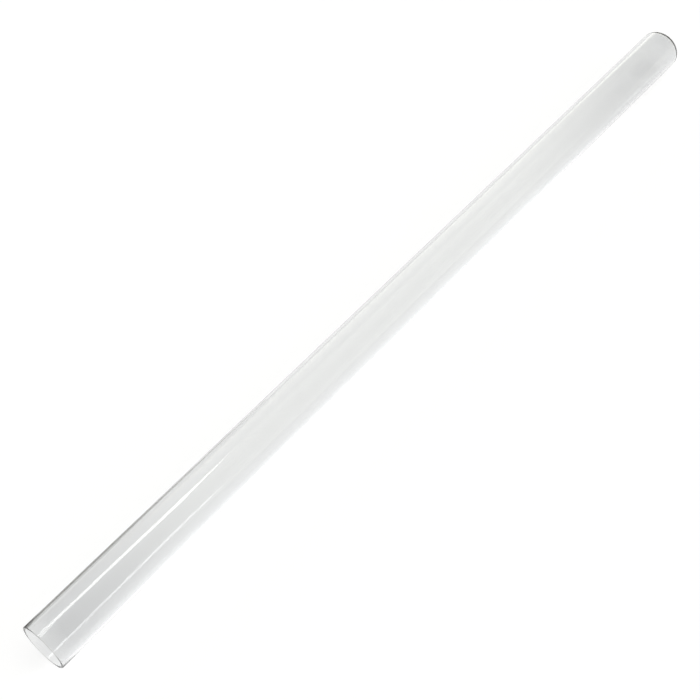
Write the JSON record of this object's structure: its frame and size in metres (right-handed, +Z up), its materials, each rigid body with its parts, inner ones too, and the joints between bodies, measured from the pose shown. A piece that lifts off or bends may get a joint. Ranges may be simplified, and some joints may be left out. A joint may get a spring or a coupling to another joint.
{
  "type": "closed-end glass tube",
  "caption": "Long, straight, clear laboratory glass tube, open and square cut at one end and closed to a shallow dome at the other.",
  "frame": {"origin": "on the surface the tube lies on, under the middle of its length", "axes": "+X along the tube's axis from the open end to the closed end, +Z up, +Y level across the tube"},
  "size_m": [0.5, 0.024, 0.0239],
  "materials": {
    "clear_glass": "clear, fire-polished, smooth"
  },
  "bodies": {
    "root": {"glass_tube": "clear_glass"}
  },
  "joints": []
}
